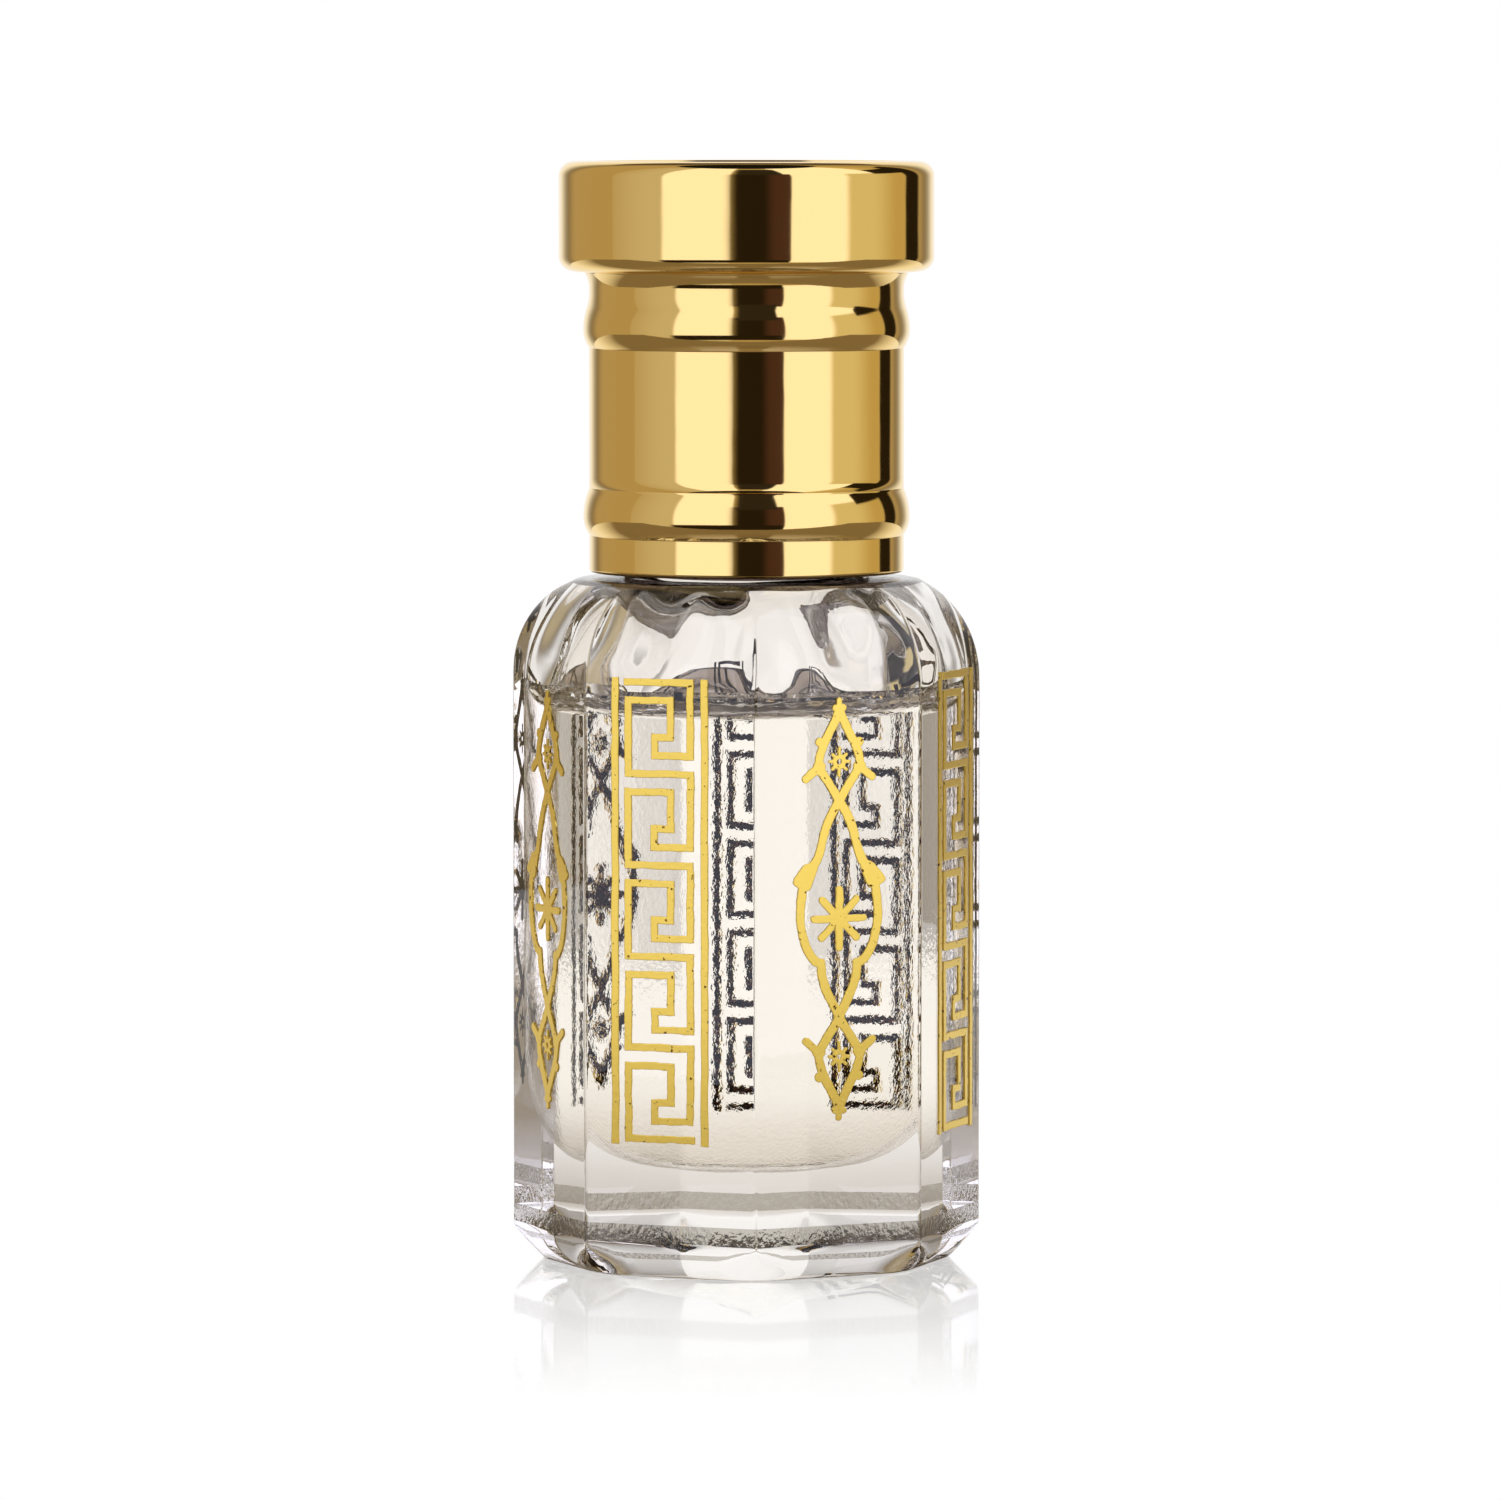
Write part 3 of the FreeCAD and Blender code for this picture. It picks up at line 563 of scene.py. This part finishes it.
class Nodes:
    """A short way to build a node tree."""

    def __init__(self, tree):
        self.tree = tree
        tree.nodes.clear()

    def add(self, kind, inputs=None, **settings):
        """A new node; inputs holds a value or another node's output for each socket."""
        node = self.tree.nodes.new(kind)
        for name, value in settings.items():
            setattr(node, name, value)
        for name, value in (inputs or {}).items():
            if isinstance(value, bpy.types.NodeSocket):
                self.tree.links.new(value, node.inputs[name])
            else:
                node.inputs[name].default_value = value
        return node

    def maths(self, operation, a, b=0.0):
        """The result of a sum on one or two values."""
        return self.add("ShaderNodeMath", {0: a, 1: b}, operation=operation).outputs[0]

    def noise(self, scale, detail=2.0, stretch=(1, 1, 1), seed=0.0):
        """Noise in the object's own space; scale is in cycles per metre."""
        place = self.add("ShaderNodeTexCoord").outputs["Object"]
        inputs = {"Vector": place, "Scale": stretch, "Location": (seed, seed, seed)}
        moved = self.add("ShaderNodeMapping", inputs).outputs["Vector"]
        inputs = {"Vector": moved, "Scale": scale, "Detail": detail}
        return self.add("ShaderNodeTexNoise", inputs).outputs[0]

    def bump(self, height, strength, distance, over=None):
        """A normal bent by a height, on top of another normal if one is given."""
        inputs = {"Height": height, "Strength": strength, "Distance": distance}
        if over is not None:
            inputs["Normal"] = over
        return self.add("ShaderNodeBump", inputs).outputs[0]

    def spread(self, value, low, high, **settings):
        """A value from 0 to 1 spread between two others."""
        inputs = {"Value": value, "To Min": low, "To Max": high}
        return self.add("ShaderNodeMapRange", inputs, **settings).outputs[0]

    def rise(self, value, start, end, **settings):
        """0 up to the start and 1 from the end."""
        inputs = {"Value": value, "From Min": start, "From Max": end}
        return self.add("ShaderNodeMapRange", inputs, **settings).outputs[0]

    def blend(self, share, below, above):
        """One colour laid over another; below is a colour or another node's output."""
        inputs = {"Factor": share, 6: below, 7: above}
        return self.add("ShaderNodeMix", inputs, data_type="RGBA").outputs[2]

    def tones(self, value, stops):
        """A colour looked up on a ramp of (position, colour) stops."""
        ramp = self.add("ShaderNodeValToRGB", {"Fac": value})
        elements = ramp.color_ramp.elements
        for position, _ in stops[1:-1]:
            elements.new(position)
        elements[0].position = stops[0][0]
        elements[-1].position = stops[-1][0]
        for element, (_, colour) in zip(elements, stops):
            element.color = (*colour, 1)
        return ramp.outputs[0]

    def finish(self, inputs):
        """Ends a material with a Principled shader."""
        shader = self.add("ShaderNodeBsdfPrincipled", inputs)
        self.add("ShaderNodeOutputMaterial", {"Surface": shader.outputs[0]})


def new_material(name):
    """An empty material, and the nodes to fill it with."""
    material = bpy.data.materials.new(name)
    material.use_nodes = True
    return material, Nodes(material.node_tree)


def clear_shader(tint, ior, normal=None):
    """Inputs of a Principled shader that lets all light through."""
    inputs = {"Base Color": tint, "Roughness": 0.0, "IOR": ior, "Transmission Weight": 1.0}
    if normal is not None:
        inputs["Normal"] = normal
    return inputs


def glass_material(name, ior, tint, ripple_height, ripples):
    """Clear glass with slow waves, and fine ripples of a given height."""
    material, nodes = new_material(name)
    waves = nodes.bump(nodes.noise(260, 1.0, (1, 1, 0.4)), 0.25, 0.03 * MM)
    fine = nodes.noise(ripples, 2.0, (1, 1, 0.7))
    nodes.finish(clear_shader(tint, ior, nodes.bump(fine, 1.0, ripple_height, waves)))
    return material


def glass_materials():
    """The bottle's glass: in air, against the oil, and darkened with painted shade above the foot and
    under the cap.
    """
    return (
        glass_material("bottle_glass", GLASS_IOR, GLASS_TINT, OUTSIDE_RIPPLE, WIDE_RIPPLES),
        glass_material("bottle_glass_wet", GLASS_IOR / OIL_IOR, CLEAR, WET_RIPPLE, CLOSE_RIPPLES),
        glass_material("bottle_glass_foot_painted_shade", GLASS_IOR, FOOT_PAINTED_SHADE_TINT, FOOT_RIPPLE, CLOSE_RIPPLES),
        glass_material("bottle_glass_cap_painted_shade", GLASS_IOR, CAP_PAINTED_SHADE_TINT, FOOT_RIPPLE, CLOSE_RIPPLES),
    )


def oil_surface_material(name, tint, ripple_height):
    """The oil's top, with waves of a given height."""
    material, nodes = new_material(name)
    waves = nodes.bump(nodes.noise(500, 2.0, (1, 1, 3)), 1.0, ripple_height)
    nodes.finish(clear_shader(tint, OIL_IOR, waves))
    return material


def oil_wall_material():
    """The oil's side: light goes straight through, because the glass beside it does the bending."""
    material, nodes = new_material("oil_wall")
    nodes.finish(clear_shader(OIL_TINT, 1.0))
    return material


def gold_metal():
    """Bright gold anodised aluminium: near mirror, with a faint orange peel and spin marks."""
    material, nodes = new_material("gold_anodised")
    peel = nodes.bump(nodes.noise(420, 2.0, (1, 1, 0.6)), 0.4, 0.02 * MM)
    spin = nodes.bump(nodes.noise(900, 3.0, (0.02, 0.02, 6.0)), 0.12, 0.01 * MM, peel)
    haze = nodes.spread(nodes.noise(700, 3.0, seed=4.0), 0.03, 0.09)
    nodes.finish({"Base Color": GOLD, "Metallic": 1.0, "Roughness": haze, "Normal": spin})
    return material


def gold_ink():
    """Fired gold: satin, a little grainy, and rounded where the ink drew back at its edges."""
    material, nodes = new_material("gold_ink")
    edge = nodes.add("ShaderNodeBevel", {"Radius": 0.05 * MM}, samples=6).outputs[0]
    grain = nodes.bump(nodes.noise(6000, 3.0), 0.35, 0.012 * MM, edge)
    tone = nodes.tones(nodes.noise(3800, 2.0, seed=0.3), INK_FRONT_TONES)
    nodes.finish({"Base Color": tone, "Metallic": 1.0, "Roughness": 0.28, "Normal": grain})
    return material


def ink_underside_painted_shade():
    """The print seen through the glass, darkened with painted shade: dark, reddish and mottled."""
    material, nodes = new_material("gold_ink_underside_painted_shade")
    tone = nodes.tones(nodes.noise(5200, 2.0), INK_UNDERSIDE_PAINTED_SHADE_TONES)
    nodes.finish({"Base Color": tone, "Roughness": 0.8, "Specular IOR Level": 0.0})
    return material


def plastic(name, colour, roughness):
    """Moulded plastic, a little cloudy and grainy."""
    material, nodes = new_material(name)
    grain = nodes.bump(nodes.noise(5000, 2.0), 0.2, 0.02 * MM)
    dull = tuple(0.93 * channel for channel in colour)
    tone = nodes.blend(nodes.noise(300, 2.0), (*dull, 1), (*colour, 1))
    nodes.finish({"Base Color": tone, "Roughness": roughness, "Normal": grain})
    return material


def steel():
    """A polished steel ball."""
    material, nodes = new_material("ball_steel")
    haze = nodes.spread(nodes.noise(1500, 3.0), 0.04, 0.1)
    nodes.finish({"Base Color": STEEL, "Metallic": 1.0, "Roughness": haze})
    return material


def dress(node, material):
    """Gives a node of the frame its material."""
    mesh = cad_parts[node].data
    mesh.materials.clear()
    mesh.materials.append(material)


# ---- printed gold ----------------------------------------------------------------------
INK_THICKNESS = 0.09 * MM
INK_SUNK = 0.01 * MM
INK_WOBBLE = 0.04 * MM
INK_STEP = 0.2 * MM
INK_WANDERS = ((1.1, 1.0), (4.5, 0.7))  # cycles to a millimetre, share
PRINT_MIDDLE = 0.03 * MM


def flat_directions(mesh):
    """Out of and along the flat that a print lies on."""
    middle = sum((vertex.co for vertex in mesh.vertices), Vector()) / len(mesh.vertices)
    side = 2 * HALF_SIDE
    turn = round(math.atan2(middle.y, middle.x) / side) * side
    outward = Vector((math.cos(turn), math.sin(turn), 0))
    return outward, Vector((-outward.y, outward.x, 0))


def cut_finely(mesh):
    """The print's shape with its long edges cut, so that they can wander."""
    shape = bmesh.new()
    shape.from_mesh(mesh)
    for _ in range(5):
        long_edges = [edge for edge in shape.edges if edge.calc_length() > INK_STEP]
        if not long_edges:
            break
        bmesh.ops.subdivide_edges(shape, edges=long_edges, cuts=1)
        many_sided = [face for face in shape.faces if len(face.verts) > 3]
        bmesh.ops.triangulate(shape, faces=many_sided)
    return shape


def make_print(node, front, back, seed):
    """Raised gold ink whose edges wander a little, in place of the CAD print's straight ones."""
    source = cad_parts[node].data
    outward, across = flat_directions(source)
    shape = cut_finely(source)
    for vertex in shape.verts:
        height = vertex.co.dot(outward)
        place = Vector((vertex.co.dot(across) / MM, vertex.co.z / MM, seed))
        wander = sum((share * noise.noise_vector(place * rate) for rate, share in INK_WANDERS), Vector())
        lift = INK_THICKNESS if height > APOTHEM + PRINT_MIDDLE else -INK_SUNK
        vertex.co += outward * (APOTHEM + lift - height)
        vertex.co += (across * wander.x + Vector((0, 0, wander.y))) * INK_WOBBLE
    ink_mesh = bpy.data.meshes.new(node + "_ink")
    shape.to_mesh(ink_mesh)
    shape.free()
    ink_mesh.materials.append(front)
    ink_mesh.materials.append(back)
    for face in ink_mesh.polygons:
        # faces against the glass get the back of the ink, darkened with painted shade
        face.material_index = 1 if face.normal.dot(outward) < -0.9 else 0
    ink = bpy.data.objects.new(node + "_ink", ink_mesh)
    bpy.context.scene.collection.objects.link(ink)
    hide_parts(node)
    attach(ink, "bottle")


def make_prints():
    """Every print of the frame, each with edges of its own."""
    front, back = gold_ink(), ink_underside_painted_shade()
    prints = sorted(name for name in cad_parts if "_print_" in name)
    for seed, node in enumerate(prints):
        make_print(node, front, back, float(seed))


# ---- camera ----------------------------------------------------------------------------
def make_camera():
    """Level with the cap, turned to a corner of the bottle, looking a little down."""
    data = bpy.data.cameras.new("camera")
    data.sensor_width = SENSOR
    data.lens = LENS
    data.clip_start = 10 * MM
    camera = bpy.data.objects.new("camera", data)
    bpy.context.scene.collection.objects.link(camera)
    forward = Vector((-math.sin(CAMERA_AZIMUTH), math.cos(CAMERA_AZIMUTH), 0))
    right = Vector((math.cos(CAMERA_AZIMUTH), math.sin(CAMERA_AZIMUTH), 0))
    up = Vector((0, 0, 1))
    camera.location = up * (CAP_TOP + CAMERA_RISE) + right * AIM_ASIDE - forward * CAMERA_DISTANCE
    aim = up * AIM_HEIGHT + right * AIM_ASIDE
    camera.rotation_euler = (aim - camera.location).to_track_quat("-Z", "Y").to_euler()
    bpy.context.scene.camera = camera


# ---- studio ----------------------------------------------------------------------------
SURROUND = (0.48, 0.39, 0.24)
CREAM = (0.62, 0.58, 0.5)
OCHRE = (0.56, 0.45, 0.22)
PALE = (0.73, 0.68, 0.5)
WHITE = (1.0, 1.0, 1.0)
BRIGHT = (1.25, 1.27, 1.5)
DARK = (0.02, 0.014, 0.008)
WARM_DARK = (0.07, 0.035, 0.03)
GREY_DARK = (0.1, 0.08, 0.075)
HIGH_DARK = (0.03, 0.025, 0.02)
PAPER = (1, 1, 1, 1)
EVERYWHERE = (-90, 90)

# Panels round the bottle, each laid over the ones before it: (from, to) degrees round from the
# camera, (from, to) degrees up, colour, and how softly the first and the last side end.
PANELS = (
    ((-85, -12), EVERYWHERE, CREAM, (25, 1)),
    ((62, 114), EVERYWHERE, OCHRE, (1, 1)),
    ((62, 95), EVERYWHERE, PALE, (1, 12)),
    ((140, 220), (-90, 65), GREY_DARK, (12, 12)),
    ((150, 210), (-90, 42), WHITE, (12, 12)),
    ((-53, -10), (-9, 68), BRIGHT, (1.5, 1)),
    ((27, 65), (-24, 68), BRIGHT, (1, 3)),
    ((20, 88), (22, 68), BRIGHT, (1, 1)),
    ((-10, 27), (-26, 24), DARK, (5, 1)),
    ((14, 27), (-26, 24), WARM_DARK, (4, 1)),
    ((-8, 23), (20, 60), HIGH_DARK, (3, 1)),
    ((-55, 27), (-26, -9), DARK, (3, 1)),
    ((115, 131), (-30, 45), DARK, (1, 2)),
    ((88, 118), (18, 40), DARK, (1, 1)),
)
CEILING = 68
CEILING_COLOUR = (0.01, 0.01, 0.01)
PANEL_EDGE = 1.2


def step_up(nodes, value, at, soft):
    """0 below a value and 1 above it, with a soft edge."""
    return nodes.rise(value, float(at - soft), float(at + soft), interpolation_type="SMOOTHSTEP")


def between(nodes, value, limits, soft):
    """1 between two limits and 0 outside them, with soft edges."""
    start = step_up(nodes, value, limits[0], soft[0])
    end = step_up(nodes, value, limits[1], soft[1])
    return nodes.maths("MULTIPLY", start, nodes.maths("SUBTRACT", 1.0, end))


def sky_bearings(nodes):
    """Degrees round from the camera's side, from -90 to 270, and degrees up."""
    place = nodes.add("ShaderNodeTexCoord").outputs["Generated"]
    x, y, z = nodes.add("ShaderNodeSeparateXYZ", {"Vector": place}).outputs
    heading = nodes.maths("ARCTAN2", x, nodes.maths("MULTIPLY", y, -1.0))
    degrees = nodes.maths("MULTIPLY", heading, 180 / math.pi)
    turn = nodes.maths("SUBTRACT", degrees, math.degrees(CAMERA_AZIMUTH))
    wrapped = nodes.maths("MODULO", nodes.maths("ADD", turn, 450.0), 360.0)
    level = nodes.maths("MULTIPLY", nodes.maths("ARCSINE", z), 180 / math.pi)
    return nodes.maths("SUBTRACT", wrapped, 90.0), level


def make_world():
    """The studio that the bottle reflects and bends. Looked at directly it is white paper."""
    world = bpy.data.worlds.new("studio")
    world.use_nodes = True
    bpy.context.scene.world = world
    nodes = Nodes(world.node_tree)
    azimuth, level = sky_bearings(nodes)
    colour = (*SURROUND, 1)
    for sides, heights, shade, soft in PANELS:
        mask = between(nodes, azimuth, sides, soft)
        if heights != EVERYWHERE:
            tall = between(nodes, level, heights, (PANEL_EDGE, PANEL_EDGE))
            mask = nodes.maths("MULTIPLY", mask, tall)
        colour = nodes.blend(mask, colour, (*shade, 1))
    colour = nodes.blend(step_up(nodes, level, CEILING, PANEL_EDGE), colour, (*CEILING_COLOUR, 1))
    room = nodes.add("ShaderNodeBackground", {"Color": colour, "Strength": 1.0}).outputs[0]
    paper = nodes.add("ShaderNodeBackground", {"Color": PAPER, "Strength": 1.0}).outputs[0]
    seen = nodes.add("ShaderNodeLightPath").outputs["Is Camera Ray"]
    mix = nodes.add("ShaderNodeMixShader", {0: seen, 1: room, 2: paper})
    nodes.add("ShaderNodeOutputWorld", {"Surface": mix.outputs[0]})


# ---- table -----------------------------------------------------------------------------
FLOOR_SIDE = 350 * MM
FLOOR_FRONT = 80 * MM
FLOOR_BEHIND = 140 * MM
FLOOR_DROP = 0.02 * MM
TABLE_FRONT = (0.42, 0.35, 0.24, 1)
TABLE_BACK = (0.95, 0.87, 0.74, 1)
TABLE_TURN = (0.3, 0.75)  # cosine of the bearing from straight behind, front tone to back tone
TABLE_FADE = (-10 * MM, 80 * MM)  # distance over which the table behind fades to paper
GLOSS_REACH = (12 * MM, 50 * MM)
FLOOR_GLOSS = 0.45
GLOSS_BLUR = 0.05


def floor_sheet():
    """A level rectangle just under the foot, square to the camera."""
    left, right, front, back = -FLOOR_SIDE, FLOOR_SIDE, -FLOOR_FRONT, FLOOR_BEHIND
    verts = [(left, front, 0), (right, front, 0), (right, back, 0), (left, back, 0)]
    mesh = bpy.data.meshes.new("floor")
    mesh.from_pydata(verts, [], [(0, 1, 2, 3)])
    floor = bpy.data.objects.new("floor", mesh)
    floor.location.z = CAD_BOUNDS[0][2] - FLOOR_DROP
    floor.rotation_euler.z = CAMERA_AZIMUTH
    bpy.context.scene.collection.objects.link(floor)
    return floor


def floor_material():
    """White paper to the eye, and a toned table to the glass and the cap.

    The table is darker in front than behind, and glossy only close to the bottle.
    """
    material, nodes = new_material("floor")
    place = nodes.add("ShaderNodeTexCoord").outputs["Object"]
    away = nodes.add("ShaderNodeVectorMath", {0: place}, operation="LENGTH").outputs["Value"]
    bearing = nodes.add("ShaderNodeVectorMath", {0: place}, operation="NORMALIZE")
    split = nodes.add("ShaderNodeSeparateXYZ", {"Vector": bearing.outputs["Vector"]})
    rear = nodes.rise(split.outputs["Y"], *TABLE_TURN)
    tone = nodes.blend(rear, TABLE_FRONT, TABLE_BACK)
    table = nodes.add("ShaderNodeBsdfDiffuse", {"Color": tone}).outputs[0]
    paper = nodes.add("ShaderNodeEmission", {"Color": PAPER, "Strength": 1.0}).outputs[0]
    far = nodes.rise(away, *TABLE_FADE, interpolation_type="SMOOTHSTEP")
    behind = nodes.maths("MULTIPLY", far, rear)
    lit = nodes.add("ShaderNodeMixShader", {0: behind, 1: table, 2: paper}).outputs[0]
    seen = nodes.add("ShaderNodeLightPath").outputs["Is Camera Ray"]
    base = nodes.add("ShaderNodeMixShader", {0: seen, 1: lit, 2: paper}).outputs[0]
    gloss = nodes.add("ShaderNodeBsdfGlossy", {"Color": PAPER, "Roughness": GLOSS_BLUR}).outputs[0]
    near = nodes.spread(nodes.rise(away, *GLOSS_REACH), FLOOR_GLOSS, 0.0)
    mix = nodes.add("ShaderNodeMixShader", {0: near, 1: base, 2: gloss})
    nodes.add("ShaderNodeOutputMaterial", {"Surface": mix.outputs[0]})
    return material


def make_floor():
    """The sheet with its material."""
    floor = floor_sheet()
    floor.data.materials.append(floor_material())


def render_settings():
    """Plain colours, and enough bounces for light to get through glass, oil and glass."""
    scene = bpy.context.scene
    scene.view_settings.view_transform = "Standard"
    scene.cycles.max_bounces = 32
    scene.cycles.transmission_bounces = 32
    scene.cycles.glossy_bounces = 16
    scene.cycles.transparent_max_bounces = 16


# ---- build -----------------------------------------------------------------------------
make_camera()
make_world()
make_floor()
render_settings()
make_glass()
make_oil()
make_skirt()
make_collar()
make_prints()
dress("roller_housing", plastic("housing_plastic", HOUSING_WHITE, 0.35))
dress("inner_cap", plastic("inner_cap_plastic", INNER_CAP_DARK, 0.35))
dress("sealing_liner", plastic("liner_foam", LINER_WHITE, 0.7))
dress("roller_ball", steel())
